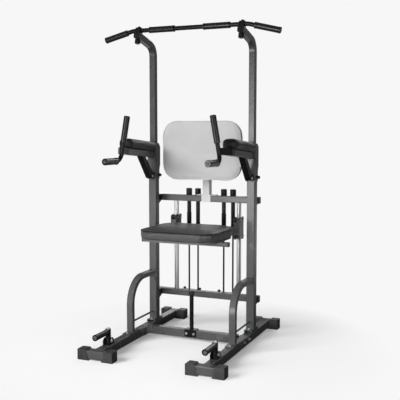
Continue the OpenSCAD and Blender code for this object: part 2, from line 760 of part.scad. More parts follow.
// Dip handles: an L of round tube that leans inward, joined to the arm by a block
module handle_axis() at_upright() translate([half_span - handle_in, -handle_y, handle_z])
    rotate([0, -handle_lean, 0]) children();
module handle_tube(d, past) {
    translate([0, 0, handle_bend_r]) cylinder(d = d, h = handle_h - handle_bend_r + past);
    translate([0, -handle_bend_r, handle_bend_r]) rotate([90, 0, 90]) rotate_extrude(angle = -90, $fn = 96)
        translate([handle_bend_r, 0]) circle(d = d);
    translate([0, -handle_bend_r, 0]) rotate([90, 0, 0])
        cylinder(d = d, h = handle_reach - handle_bend_r + past);
}
module dip_handle_right() color(black) difference() {
    union() {
        handle_axis() handle_tube(handle_d, 0);
        arm_axis() translate([0, -arm_len, -stub_h / 2]) linear_extrude(stub_h) polygon([
            [stub_half, 0], [-stub_half, 0], [-stub_tip, -stub_reach],
            [-arm_tube / 2, -stub_reach - handle_d / 4], [stub_half, -arm_tube]]);
    }
    handle_axis() handle_tube(handle_d - 2 * tube_wall, 1);
}
module dip_handle_left() left_side() dip_handle_right();
module grip_sleeve(d, len) difference() {
    union() {
        cylinder(d = d, h = len - grip_end);
        translate([0, 0, len - grip_end]) cylinder(d1 = d, d2 = d - 2 * grip_end, h = grip_end);
        cylinder(d = d + grip_flare, h = grip_rim);
    }
    translate([0, 0, -1]) cylinder(d = handle_d + 2 * rod_fit, h = len - grip_end);
}
grip_past = grip_end + 1;
module dip_grips() color(black) both_sides() handle_axis() {
    translate([0, 0, handle_h - upper_grip_len + grip_past]) grip_sleeve(upper_grip_d, upper_grip_len);
    translate([0, -handle_reach + lower_grip_len - grip_past, 0]) rotate([90, 0, 0])
        grip_sleeve(lower_grip_d, lower_grip_len);
}

// Cross bars, rods and bands
module cross_bar(z) at_upright() translate([-cross_half + cross_cap, cross_y, z])
    along_x(2 * (cross_half - cross_cap)) tube_profile(cross_tube, cross_tube);
module rod_holes(z) both_sides() at_upright() translate([rod_x, cross_y, z])
    cylinder(d = rod_d + 2 * rod_fit, h = cross_tube);
module upper_cross_bar() color(frame_grey) difference() {
    cross_bar(upper_bar_z);
    rod_holes(upper_bar_z - cross_tube);
}
module lower_cross_bar() color(frame_grey) difference() {
    cross_bar(lower_bar_z);
    rod_holes(lower_bar_z);
}
module bar_bracket(z) at_upright() {
    top = z + cross_tube / 2;
    bottom = z - cross_tube / 2;
    x0 = half_span - cross_tube / 2;
    x1 = cross_half - cross_cap - 1;
    for (x = [x0, x1 - bracket_t]) yz_plate(x, bracket_t) polygon([[lower_face, top], [cross_front, top],
        [cross_front, bottom], [cross_front - 8, bottom], [lower_face, bottom - gusset_drop]]);
    translate([x0, lower_face, top - bracket_t]) cube([x1 - x0, cross_gap, bracket_t]);
}
module bar_brackets() color(frame_grey) both_sides() {
    bar_bracket(upper_bar_z);
    bar_bracket(lower_bar_z);
}
module bar_end_caps() color(black) both_sides() at_upright() for (z = [upper_bar_z, lower_bar_z])
    translate([cross_half - cross_cap, cross_y, z]) along_x(cross_cap)
        polygon(round_rect(cross_tube, cross_tube, tube_corner));

rod_bottom = lower_bar_bottom + tube_wall;
rod_len = upper_bar_top - lower_bar_bottom - 2 * tube_wall;
module guide_rods() color(chrome) both_sides() at_upright() translate([rod_x, cross_y, rod_bottom])
    difference() {
        cylinder(d = rod_d, h = rod_len);
        translate([0, 0, -1]) cylinder(d = rod_d - 2 * rod_wall, h = rod_len + 2);
    }

rod_nut_h = 8;
module band_rods() color(black) both_sides() at_upright() for (x = band_xs) translate([x, band_y, 0]) {
    translate([0, 0, lower_anchor_z - rod_nut_h]) {
        cylinder(d = band_rod_d, h = upper_anchor_z + anchor_t - lower_anchor_z + 2 * rod_nut_h);
        cylinder(d = band_rod_d * 1.7, h = rod_nut_h, $fn = 6);
    }
}
module anchor_plate(z, up) at_upright() difference() {
    union() {
        translate([anchor_x0, cross_back, z]) cube([anchor_w, anchor_back - cross_back, anchor_t]);
        translate([anchor_x0, cross_back, up ? z : upper_bar_bottom])
            cube([anchor_w, anchor_t, up ? lower_bar_top - z : z - upper_bar_bottom + anchor_t]);
    }
    for (x = band_xs) translate([x, band_y, z - 1]) cylinder(d = band_rod_d + 4 * rod_fit, h = anchor_t + 2);
}
module band_anchors() color(frame_grey) both_sides() {
    anchor_plate(upper_anchor_z, false);
    anchor_plate(lower_anchor_z, true);
}
module band_caps() color(black) both_sides() at_upright() for (x = band_xs)
    translate([x, band_y, upper_anchor_z + anchor_t]) difference() {
        union() {
            cylinder(d = band_cap_d, h = band_cap_h - grip_end);
            translate([0, 0, band_cap_h - grip_end])
                cylinder(d1 = band_cap_d, d2 = band_cap_d - 2 * grip_end, h = grip_end);
        }
        translate([0, 0, -1]) cylinder(d = band_rod_d + 4 * rod_fit, h = rod_nut_h + 3);
    }
module anchor_pegs() color(black) both_sides() at_upright()
    for (x = [band_in_x - band_cap_d / 2 - peg_d / 4, band_out_x + band_cap_d / 2 + peg_d / 4])
        translate([x, peg_y, lower_anchor_z + anchor_t]) {
            cylinder(d = peg_d * 0.7, h = peg_h - peg_d / 2);
            translate([0, 0, peg_h - peg_d / 2]) cylinder(d1 = peg_d * 0.7, d2 = peg_d, h = peg_d / 4);
            translate([0, 0, peg_h - peg_d / 4]) cylinder(d = peg_d, h = peg_d / 4);
        }
band_bottom = catch_top + ferrule_h;
band_len = upper_anchor_z - band_bottom;
module elastic_bands_right() color(black) at_upright() for (x = band_xs)
    translate([x, band_y, band_bottom]) difference() {
        cylinder(d = band_d, h = band_len);
        translate([0, 0, -1]) cylinder(d = band_bore, h = band_len + 2);
    }
module elastic_bands_left() left_side() elastic_bands_right();

module frame_bolts() color(chrome) both_sides() frame_bolt_places() bolt(frame_bolt_len);

module backrest_saddle() color(pale) at_upright() {
    difference() {
        translate([-back_saddle_half, cross_front - back_saddle_t, upper_bar_bottom])
            cube([2 * back_saddle_half, cross_tube + 2 * back_saddle_t, cross_tube + back_saddle_t]);
        translate([-back_saddle_half - 1, cross_front, upper_bar_bottom - 1])
            cube([2 * back_saddle_half + 2, cross_tube, cross_tube + 1]);
    }
    translate([-back_flange_half, cross_front, upper_bar_top])
        cube([2 * back_flange_half, cross_tube, back_saddle_t]);
    translate([0, cross_y, back_flange_z]) linear_extrude(spigot_len) tube_profile(spigot_tube, spigot_tube);
}

// Carriage
module slider_right() color(frame_grey) difference() {
    at_upright() {
        translate([slider_in, slider_y, slider_z + web_drop])
            cube([slider_w, slider_wall, slider_h - 2 * web_drop]);
        for (x = [slider_in, slider_out - slider_wall]) translate([0, slider_y, slider_z])
            yz_plate(x, slider_wall) polygon([
                [0, 0], [slider_depth - slider_cut, 0], [slider_depth, slider_cut],
                [slider_depth, slider_h - slider_cut], [slider_depth - slider_cut, slider_h], [0, slider_h]]);
    }
    axle_places() translate([-1, 0, 0]) rotate([0, 90, 0])
        cylinder(d = axle_d + 2 * rod_fit, h = slider_w + 2);
}
module slider_left() left_side() slider_right();
module axle_places() at_upright() for (y = roller_ys) for (z = roller_zs)
    translate([slider_in, y, z]) children();
module roller_axles() color(chrome) both_sides() axle_places() rotate([0, 90, 0]) {
    cylinder(d = axle_d, h = slider_w);
    for (z = [-axle_head, slider_w]) translate([0, 0, z]) cylinder(d = axle_d * 1.6, h = axle_head);
}
module roller() rotate([0, 90, 0]) rotate_extrude() difference() {
    translate([axle_d / 2 + rod_fit, 0]) square([roller_d / 2 - axle_d / 2 - rod_fit, roller_w]);
    translate([roller_offset, roller_w / 2]) circle(d = rod_d + 2 * roller_gap);
}
module roller_pair(y, z) color(black) both_sides() at_upright()
    translate([rod_x - roller_w / 2, y, z]) roller();
module rollers_upper_front() roller_pair(roller_ys[0], roller_zs[1]);
module rollers_upper_rear() roller_pair(roller_ys[1], roller_zs[1]);
module rollers_lower_front() roller_pair(roller_ys[0], roller_zs[0]);
module rollers_lower_rear() roller_pair(roller_ys[1], roller_zs[0]);

module carriage_frame() color(frame_grey) at_upright() {
    translate([-slider_in, link_y + link_d / 2, link_mid])
        along_x(2 * slider_in) tube_profile(link_d, link_h);
    translate([0, -spine_reach, seat_tube_z + seat_tube / 2])
        along_y(spine_reach + link_y - riser_t) tube_profile(spine_w, seat_tube);
    translate([-spine_w / 2, link_y - riser_t, seat_tube_z])
        cube([spine_w, riser_t, link_mid + link_h / 2 - seat_tube_z]);
    translate([-seat_tube_half + foot_cap_wall, -seat_tube_y, seat_tube_z + seat_tube / 2])
        along_x(2 * (seat_tube_half - foot_cap_wall)) tube_profile(seat_tube, seat_tube);
}
module seat_tube_caps() color(black) both_sides() at_upright()
    translate([seat_tube_half - foot_cap_wall, -seat_tube_y, seat_tube_z + seat_tube / 2])
        along_x(foot_cap_wall) polygon(round_rect(seat_tube + 2, seat_tube, tube_corner));
module seat_board() color(board) at_upright() translate([0, -seat_y, seat_tube_top]) linear_extrude(board_t)
    polygon(round_rect(seat_w - 2 * board_inset, seat_d - 2 * board_inset, seat_corner - board_inset, 8));
module seat_pad() color(vinyl) at_upright() translate([0, -seat_y, seat_pad_z])
    cushion(seat_w, seat_d, seat_side, seat_crown, seat_corner, 4, 12);
module band_catch() color(black) at_upright() {
    rear = link_y + link_d;
    difference() {
        union() {
            translate([-catch_half, rear, catch_z]) cube([2 * catch_half, catch_back - rear, catch_t]);
            translate([-catch_half, catch_back - catch_t, catch_z - 16]) cube([2 * catch_half, catch_t, 17]);
            for (x = [-band_out_x, -band_in_x, band_in_x, band_out_x]) translate([x, band_y, catch_top - 1])
                cylinder(d = band_d + 2, h = ferrule_h + 1);
            for (x = [-band_out_x, band_in_x]) translate([x, band_y, catch_top - 1]) difference() {
                cylinder(d = band_d + 2 * rod_fit * 4 + 2 * clip_wall, h = clip_h + 1);
                translate([0, 0, ferrule_h + 1]) cylinder(d = band_d + 2 * rod_fit * 4, h = clip_h);
            }
        }
        for (x = [-band_out_x, -band_in_x, band_in_x, band_out_x]) translate([x, band_y, catch_z - 20])
            cylinder(d = band_bore, h = ferrule_h + 21 + catch_t);
    }
}

// Top of the tower
module upper_upright_right() color(frame_grey) at_upright() translate([half_span, 0, 0]) {
    translate([0, 0, upper_bottom])
        linear_extrude(bend_z - upper_bottom) tube_profile(upper_tube, upper_tube);
    translate([0, 0, bend_z]) {
        translate([0, -top_bend_r, 0]) rotate([90, 0, 90]) rotate_extrude(angle = top_bend, $fn = 96)
            translate([top_bend_r, 0]) tube_profile(upper_tube, upper_tube);
        translate([0, arc_dy, arc_dz]) rotate([top_bend, 0, 0])
            linear_extrude(top_run + top_overhang) tube_profile(upper_tube, upper_tube);
    }
}
module upper_upright_left() left_side() upper_upright_right();

module bar_end() translate([bar_half + bar_bend_r * sin(bar_droop), 0, -bar_bend_r * (1 - cos(bar_droop))])
    rotate([0, bar_droop, 0]) children();
module at_bar() at_upright() translate([0, -bar_reach, bar_z]) children();
module pullup_bar() color(black) at_bar() difference() {
    union() {
        translate([-bar_half - bend_lap, 0, 0]) along_x(2 * (bar_half + bend_lap)) circle(d = bar_d);
        both_sides() {
            translate([bar_half, 0, -bar_bend_r]) rotate([90, 0, 0]) rotate([0, 0, 90 - bar_droop])
                rotate_extrude(angle = bar_droop, $fn = 96) translate([bar_bend_r, 0]) circle(d = bend_d);
            bar_end() translate([-bend_lap, 0, 0]) along_x(bar_end_len + bend_lap) circle(d = bar_d);
        }
    }
    translate([-bar_half, 0, 0]) along_x(2 * bar_half) circle(d = bar_d - 2 * tube_wall);
    both_sides() bar_end() translate([bend_lap, 0, 0]) along_x(bar_end_len) circle(d = bar_d - 2 * tube_wall);
}
module bar_grip(len) rotate([0, 90, 0]) difference() {
    union() {
        cylinder(d = bar_grip_d, h = len);
        for (z = [0, len - 4]) translate([0, 0, z]) cylinder(d = bar_grip_d + 2, h = 4);
    }
    translate([0, 0, -1]) cylinder(d = bar_d + 2 * rod_fit, h = len + 2);
}
module pullup_grips() color(black) both_sides() at_bar() {
    translate([inner_grip_x, 0, 0]) bar_grip(inner_grip_len);
    bar_end() translate([bar_end_len - outer_grip_len, 0, 0]) {
        bar_grip(outer_grip_len);
        translate([outer_grip_len, 0, 0]) rotate([0, 90, 0]) cylinder(d = bar_grip_d, h = 3);
    }
}
module top_axis() at_upright() translate([half_span, seat_pt[0], seat_pt[1]])
    rotate([top_bend - 90, 0, 0]) children();
module bar_saddles() color(black) both_sides() top_axis() {
    inner = bar_d / 2 + rod_fit;
    outer = inner + saddle_t;
    pad = bolt_head_d / 2 + 2;
    translate([-saddle_w / 2, 0, top_face]) along_x(saddle_w) difference() {
        union() {
            translate([0, bar_d / 2]) circle(r = outer);
            translate([-outer, 0]) square([2 * outer, bar_d / 2]);
            translate([-pad, bar_d / 2]) square([2 * pad, outer + 1]);
        }
        translate([0, bar_d / 2]) circle(r = inner);
        translate([-inner, -1]) square([2 * inner, bar_d / 2 + 1]);
        translate([-outer - 1, -outer]) square([2 * outer + 2, outer]);
    }
    translate([0, 0, bar_seat + outer]) cylinder(d = bolt_head_d, h = bolt_head_h);
}
module bar_knobs() color(black) both_sides() top_axis() translate([0, 0, -top_face]) mirror([0, 0, 1]) {
    cylinder(d = knob_d * 0.6, h = 6);
    translate([0, 0, 6]) cylinder(d = knob_d, h = knob_h - 10);
    translate([0, 0, knob_h - 4]) cylinder(d1 = knob_d, d2 = knob_d - 8, h = 4);
}

// Backrest
post_top = back_z + 50;
back_face = back_y + back_board_t;
back_plate = [100, 4, 120];
back_web = [4, 100];
module backrest_post() color(pale) at_upright() {
    translate([0, cross_y, back_flange_z])
        linear_extrude(post_top - back_flange_z) tube_profile(post_tube, post_tube);
    translate([-post_tube / 2, post_front, post_top]) cube([post_tube, post_tube, 3]);
    translate([-back_plate[0] / 2, back_face, back_z - back_plate[2] / 2]) cube(back_plate);
    for (s = [0, 1]) mirror([s, 0, 0])
        translate([post_tube / 2 - tube_corner - back_web[0], back_face + 1, back_z - back_web[1] / 2])
            cube([back_web[0], post_front - back_face, back_web[1]]);
}
module backrest_board() color(board) at_upright() translate([0, back_face, back_z]) rotate([90, 0, 0])
    linear_extrude(back_board_t) polygon(round_rect(
        back_w - 2 * board_inset, back_h - 2 * board_inset, back_corner - board_inset, 8));
module backrest_pad() color(pale) at_upright() translate([0, back_y, back_z]) rotate([90, 0, 0])
    cushion(back_w, back_h, back_t * 0.78, back_t * 0.22, back_corner, 4, 10);

base_rail_left();
base_rail_right();
foot_caps();
front_beam();
stop_post();
stop_bumper();
lower_upright_left();
lower_upright_right();
upright_collars();
front_brace_left();
front_brace_right();
tie_rods();
pushup_handle_left();
pushup_handle_right();
pushup_grips();
dip_arm_left();
dip_arm_right();
arm_struts();
arm_pad_left();
arm_pad_right();
dip_handle_left();
dip_handle_right();
dip_grips();
upper_cross_bar();
lower_cross_bar();
bar_brackets();
bar_end_caps();
guide_rods();
band_rods();
band_anchors();
band_caps();
anchor_pegs();
elastic_bands_left();
elastic_bands_right();
frame_bolts();
backrest_saddle();
slider_left();
slider_right();
roller_axles();
carriage_frame();
seat_tube_caps();
seat_board();
seat_pad();
band_catch();
rollers_upper_front();
rollers_upper_rear();
rollers_lower_front();
rollers_lower_rear();
upper_upright_left();
upper_upright_right();
pullup_bar();
pullup_grips();
bar_saddles();
bar_knobs();
backrest_post();
backrest_board();
backrest_pad();
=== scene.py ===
import json
import math
import bmesh
import bpy
import numpy as np
from mathutils import Matrix, Vector
from mathutils.bvhtree import BVHTree


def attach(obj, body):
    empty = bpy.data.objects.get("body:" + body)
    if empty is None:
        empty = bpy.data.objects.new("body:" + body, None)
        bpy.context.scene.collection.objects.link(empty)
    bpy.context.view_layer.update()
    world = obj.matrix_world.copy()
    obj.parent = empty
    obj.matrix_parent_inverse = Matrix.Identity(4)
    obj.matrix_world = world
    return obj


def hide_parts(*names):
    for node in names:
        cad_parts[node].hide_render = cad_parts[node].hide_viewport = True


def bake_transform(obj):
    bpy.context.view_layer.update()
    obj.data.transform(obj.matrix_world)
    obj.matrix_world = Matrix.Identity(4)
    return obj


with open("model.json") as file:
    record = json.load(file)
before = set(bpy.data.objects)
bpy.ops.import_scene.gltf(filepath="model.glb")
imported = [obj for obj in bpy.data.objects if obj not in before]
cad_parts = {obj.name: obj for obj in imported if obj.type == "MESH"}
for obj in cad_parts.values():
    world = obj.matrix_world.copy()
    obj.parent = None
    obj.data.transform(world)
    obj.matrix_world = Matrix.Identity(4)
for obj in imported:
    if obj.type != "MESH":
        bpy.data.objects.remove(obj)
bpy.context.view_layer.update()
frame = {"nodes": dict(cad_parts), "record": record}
nodes = frame["nodes"]
scene = bpy.context.scene
print("stage: frame loaded,", len(nodes), "nodes")


# Shader wiring

class Wire:
    def __init__(self, tree, socket=None):
        self.tree = tree
        self.socket = socket

    def add(self, kind, settings, inputs, output=0):
        node = self.tree.nodes.new(kind)
        for key, value in settings.items():
            setattr(node, key, value)
        for key, value in inputs.items():
            if isinstance(value, Wire):
                self.tree.links.new(value.socket, node.inputs[key])
            else:
                node.inputs[key].default_value = value
        return Wire(self.tree, node.outputs[output])

    def maths(self, operation, first, second):
        return self.add("ShaderNodeMath", {"operation": operation}, {0: first, 1: second})

    def __add__(self, other):
        return self.maths("ADD", self, other)

    def __radd__(self, other):
        return self.maths("ADD", other, self)

    def __sub__(self, other):
        return self.maths("SUBTRACT", self, other)

    def __rsub__(self, other):
        return self.maths("SUBTRACT", other, self)

    def __mul__(self, other):
        return self.maths("MULTIPLY", self, other)

    def __rmul__(self, other):
        return self.maths("MULTIPLY", other, self)

    def span(self, low, high, toLow, toHigh):
        values = {0: self, 1: low, 2: high, 3: toLow, 4: toHigh}
        return self.add("ShaderNodeMapRange", {"clamp": True}, values)

    def blendColor(self, first, second):
        inputs = {0: self, 6: first, 7: second}
        return self.add("ShaderNodeMix", {"data_type": "RGBA"}, inputs, 2)


def rgba(grey, tint=(1.0, 1.0, 1.0)):
    return (grey * tint[0], grey * tint[1], grey * tint[2], 1.0)


# One builder for every finish; what all finishes share comes first

noiseLook = {"cloudDetail": 5.0, "fineDetail": 3.0, "tone": (0.3, 0.7), "cloudShare": 0.7, "fineShare": 0.3,
    "gloss": (0.25, 0.75)}
dustLook = {"slope": 0.3, "patches": (0.35, 0.7), "least": 0.3, "rough": 0.3,
    "color": (0.35, 0.34, 0.33, 1.0)}
scuffLook = {"edge": (0.95, 0.80), "patches": (0.45, 0.62), "samples": 4, "radius": 0.0012}
creaseLook = {"width": 0.12, "share": 0.7, "fineShare": 0.3, "rough": 0.12}


def makeFinish(name, look):
    mat = bpy.data.materials.new(name)
    mat.use_nodes = True
    tree = mat.node_tree
    tree.nodes.clear()
    root = Wire(tree)
    shader = tree.nodes.new("ShaderNodeBsdfPrincipled")
    output = tree.nodes.new("ShaderNodeOutputMaterial")
    tree.links.new(shader.outputs[0], output.inputs[0])
    shader.inputs["Metallic"].default_value = look.get("metal", 0.0)
    shader.inputs["Coat Weight"].default_value = look.get("coat", 0.0)
    shader.inputs["Coat Roughness"].default_value = look.get("coatRough", 0.2)
    shader.inputs["Specular IOR Level"].default_value = look.get("specular", 0.5)
    place = root.add("ShaderNodeTexCoord", {}, {}, "Object")
    if "stretch" in look:
        place = root.add("ShaderNodeMapping", {}, {"Vector": place, "Scale": look["stretch"]})
    cloud = root.add("ShaderNodeTexNoise", {}, {
        "Vector": place, "Scale": look["cloudScale"], "Detail": noiseLook["cloudDetail"]})
    fine = root.add("ShaderNodeTexNoise", {}, {
        "Vector": place, "Scale": look["fineScale"], "Detail": noiseLook["fineDetail"]})
    facing = root.add("ShaderNodeNewGeometry", {}, {}, "Normal")
    upward = root.add("ShaderNodeSeparateXYZ", {}, {0: facing}, 2)
    patches = cloud.span(*dustLook["patches"], dustLook["least"], 1.0)
    dust = upward.span(dustLook["slope"], 1.0, 0.0, look.get("dust", 0.0)) * patches
    tone = cloud.span(*noiseLook["tone"], 0.0, 1.0) * noiseLook["cloudShare"]
    tone = tone + fine.span(*noiseLook["tone"], 0.0, 1.0) * noiseLook["fineShare"]
    color = tone.blendColor(look["dark"], look["light"])
    color = dust.blendColor(color, dustLook["color"])
    rounded = root.add("ShaderNodeBevel", {"samples": scuffLook["samples"]}, {
        "Radius": look.get("edge", scuffLook["radius"])})
    if "wear" in look:
        match = root.add("ShaderNodeVectorMath", {"operation": "DOT_PRODUCT"}, {0: rounded, 1: facing}, 1)
        worn = cloud.span(*scuffLook["patches"], 0.0, look["wear"])
        scuff = match.span(*scuffLook["edge"], 0.0, 1.0) * worn
        color = scuff.blendColor(color, look["wearColor"])
    rough = cloud.span(*noiseLook["gloss"], *look["rough"]) + dust * dustLook["rough"]
    height = fine
    if "grainScale" in look:
        grain = root.add("ShaderNodeTexVoronoi", {"feature": "DISTANCE_TO_EDGE"}, {
            "Vector": place, "Scale": look["grainScale"]})
        crease = grain.span(0.0, creaseLook["width"], 0.0, 1.0)
        height = crease * creaseLook["share"] + fine * creaseLook["fineShare"]
        rough = rough + (1.0 - crease) * creaseLook["rough"]
    bump = root.add("ShaderNodeBump", {}, {
        "Strength": look["bump"], "Distance": look["bumpDepth"], "Height": height, "Normal": rounded})
    tree.links.new(color.socket, shader.inputs["Base Color"])
    tree.links.new(rough.socket, shader.inputs["Roughness"])
    tree.links.new(bump.socket, shader.inputs["Normal"])
    return mat


steelTint = (0.99, 1.0, 1.02)
greyPaintLook = {"dark": rgba(0.058, steelTint), "light": rgba(0.070, steelTint), "cloudScale": 9.0,
    "fineScale": 420.0, "rough": (0.21, 0.29), "bump": 0.015, "bumpDepth": 0.0003, "dust": 0.03, "wear": 0.2,
    "wearColor": rgba(0.13), "coat": 0.10, "coatRough": 0.22}
blackPaintLook = {"dark": rgba(0.006), "light": rgba(0.010), "cloudScale": 12.0, "fineScale": 420.0,
    "rough": (0.17, 0.25), "bump": 0.03, "bumpDepth": 0.0003, "dust": 0.01, "wear": 0.15,
    "wearColor": rgba(0.03), "specular": 0.25}
blackPlasticLook = {"dark": rgba(0.031), "light": rgba(0.041), "cloudScale": 18.0, "fineScale": 900.0,
    "rough": (0.36, 0.48), "bump": 0.12, "bumpDepth": 0.0003, "dust": 0.02, "wear": 0.25,
    "wearColor": rgba(0.05), "edge": 0.002, "specular": 0.35}
darkPlasticLook = {"dark": rgba(0.007), "light": rgba(0.012), "cloudScale": 18.0, "fineScale": 900.0,
    "rough": (0.30, 0.40), "bump": 0.04, "bumpDepth": 0.0002, "dust": 0.01, "specular": 0.3}
blackRubberLook = {"dark": rgba(0.008), "light": rgba(0.013), "cloudScale": 20.0, "fineScale": 500.0,
    "rough": (0.40, 0.55), "bump": 0.10, "bumpDepth": 0.0003, "dust": 0.01, "specular": 0.35}
foamLook = {"dark": rgba(0.009), "light": rgba(0.013), "cloudScale": 25.0, "fineScale": 1100.0,
    "rough": (0.17, 0.23), "bump": 0.02, "bumpDepth": 0.0002, "dust": 0.01}
# blackVinyl (seat) and armVinyl (arm pads, seat piping) are one black vinyl in two shades; the seat's extra
# lightness is painted light, standing for its sheen and front lighting
blackVinylLook = {"dark": rgba(0.044), "light": rgba(0.057), "cloudScale": 14.0, "fineScale": 500.0,
    "rough": (0.34, 0.46), "bump": 0.22, "bumpDepth": 0.0005, "grainScale": 420.0, "dust": 0.01,
    "specular": 0.45}
armVinylLook = {"dark": rgba(0.007), "light": rgba(0.012), "cloudScale": 14.0, "fineScale": 500.0,
    "rough": (0.36, 0.46), "bump": 0.22, "bumpDepth": 0.0005, "grainScale": 420.0, "dust": 0.01,
    "specular": 0.3}
paleVinylLook = {"dark": rgba(0.47), "light": rgba(0.51), "cloudScale": 10.0, "fineScale": 500.0,
    "rough": (0.42, 0.56), "bump": 0.22, "bumpDepth": 0.0005, "grainScale": 420.0, "specular": 0.15}
palePaintLook = {"dark": rgba(0.50), "light": rgba(0.56), "cloudScale": 10.0, "fineScale": 420.0,
    "rough": (0.36, 0.48), "bump": 0.05, "bumpDepth": 0.0004, "wear": 0.2, "wearColor": rgba(0.30)}
boardLook = {"dark": rgba(0.07), "light": rgba(0.10), "stretch": (6.0, 60.0, 60.0), "cloudScale": 1.0,
    "fineScale": 9.0, "rough": (0.6, 0.78), "bump": 0.25, "bumpDepth": 0.0008}
chromeLook = {"dark": rgba(0.80), "light": rgba(0.86), "cloudScale": 6.0, "fineScale": 60.0, "metal": 1.0,
    "rough": (0.33, 0.37), "bump": 0.0, "bumpDepth": 0.0003, "edge": 0.0001}
zincLook = {"dark": rgba(0.55), "light": rgba(0.68), "cloudScale": 60.0, "fineScale": 400.0, "metal": 0.6,
    "rough": (0.25, 0.4), "bump": 0.05, "bumpDepth": 0.0003, "edge": 0.0008}

finishes = {
    "grey_paint": makeFinish("greyPaint", greyPaintLook),
    "black_paint": makeFinish("blackPaint", blackPaintLook),
    "black_plastic": makeFinish("blackPlastic", blackPlasticLook),
    "dark_plastic": makeFinish("darkPlastic", darkPlasticLook),
    "black_rubber": makeFinish("blackRubber", blackRubberLook),
    "foam_grip": makeFinish("foamGrip", foamLook),
    "black_vinyl": makeFinish("blackVinyl", blackVinylLook),
    "arm_vinyl": makeFinish("armVinyl", armVinylLook),
    "pale_vinyl": makeFinish("paleVinyl", paleVinylLook),
    "pale_paint": makeFinish("palePaint", palePaintLook),
    "board": makeFinish("boardStain", boardLook),
    "chrome": makeFinish("chrome", chromeLook),
    "zinc_steel": makeFinish("zincSteel", zincLook),
}
darkPiecesAndPaintedShade = {"bar_knobs": "dark_plastic", "band_caps": "dark_plastic", "bar_end_caps": "dark_plastic",
    "seat_tube_caps": "dark_plastic", "upright_collars": "dark_plastic", "bar_brackets": "black_paint",
    "band_anchors": "black_paint"}  # pieces darker than the rest of their slot; the black on bar_brackets is painted shade, standing for the shade these frame-coloured brackets sit in
for part in frame["record"]["subparts"]:
    mesh = nodes[part["node"]].data
    mesh.materials.clear()
    mesh.materials.append(finishes[darkPiecesAndPaintedShade.get(part["node"], part["material_slot"])])
print("stage: finishes made,", len(finishes))


# Mesh helpers

def newObject(name, mesh, slotName, finishName=None):
    obj = bpy.data.objects.new(name, mesh)
    scene.collection.objects.link(obj)
    mesh.materials.clear()
    mesh.materials.append(finishes[finishName or slotName])
    return obj


def newMesh(name, verts, faces):
    mesh = bpy.data.meshes.new(name)
    mesh.from_pydata([tuple(v) for v in verts], [], faces)
    mesh.update()
    smooth(mesh)
    return mesh


def joinMeshes(name, meshes):
    whole = bmesh.new()
    for mesh in meshes:
        whole.from_mesh(mesh)
        bpy.data.meshes.remove(mesh)
    joined = bpy.data.meshes.new(name)
    whole.to_mesh(joined)
    whole.free()
    return joined


def meshOf(obj):
    graph = bpy.context.evaluated_depsgraph_get()
    return bpy.data.meshes.new_from_object(obj.evaluated_get(graph))


def points(mesh):
    flat = np.zeros(len(mesh.vertices) * 3, np.float64)
    mesh.vertices.foreach_get("co", flat)
    return flat.reshape(-1, 3)


def setPoints(mesh, co):
    mesh.vertices.foreach_set("co", np.ascontiguousarray(co, np.float64).ravel())
    mesh.update()


def smooth(mesh):
    mesh.polygons.foreach_set("use_smooth", [True] * len(mesh.polygons))


aslant = Vector((0.13, 0.21, 0.97))  # lies along no path, so every tube gets a sideways direction


def tubeMesh(name, path, radius, sides, closed):
    path = np.asarray(path, float)
    count = len(path)
    verts = []
    for i in range(count):
        before = path[(i - 1) % count] if closed or i > 0 else path[i]
        after = path[(i + 1) % count] if closed or i < count - 1 else path[i]
        along = Vector(after - before).normalized()
        side = along.cross(aslant).normalized()
        lift = side.cross(along)
        wide = radius[i] if isinstance(radius, list) else radius
        for j in range(sides):
            turn = 2 * math.pi * j / sides
            verts.append(Vector(path[i]) + wide * (math.cos(turn) * side + math.sin(turn) * lift))
    faces = []
    for i in range(count if closed else count - 1):
        k = (i + 1) % count
        for j in range(sides):
            m = (j + 1) % sides
            faces.append((i * sides + j, i * sides + m, k * sides + m, k * sides + j))
    if not closed:
        faces.append(tuple(range(sides))[::-1])
        faces.append(tuple((count - 1) * sides + j for j in range(sides)))
    return newMesh(name, verts, faces)


def rimPath(size, corner, draw, height, arcSteps, sideSteps):
    width, depth = size
    ring = []
    signs = [(1, 1), (-1, 1), (-1, -1), (1, -1)]
    for q in range(4):
        sx, sy = signs[q]
        nx, ny = signs[(q + 1) % 4]
        for i in range(arcSteps + 1):
            turn = math.pi / 2 * (q + i / arcSteps)
            ring.append((sx * (width / 2 - corner) + corner * math.cos(turn),
                sy * (depth / 2 - corner) + corner * math.sin(turn)))
        turn = math.pi / 2 * (q + 1)
        start = ring[-1]
        end = (nx * (width / 2 - corner) + corner * math.cos(turn),
            ny * (depth / 2 - corner) + corner * math.sin(turn))
        for i in range(1, sideSteps):
            f = i / sideSteps
            ring.append((start[0] + (end[0] - start[0]) * f, start[1] + (end[1] - start[1]) * f))
    path = []
    for x, y in ring:  # the sides draw in a little towards their middles
        px = x * (1 - 2 * draw / width * max(0.0, 1 - (2 * y / depth) ** 2))
        py = y * (1 - 2 * draw / depth * max(0.0, 1 - (2 * x / width) ** 2))
        path.append((px, py, height))
    return path


# Cushions: pressed out by cloth, then a sewn seam and piping

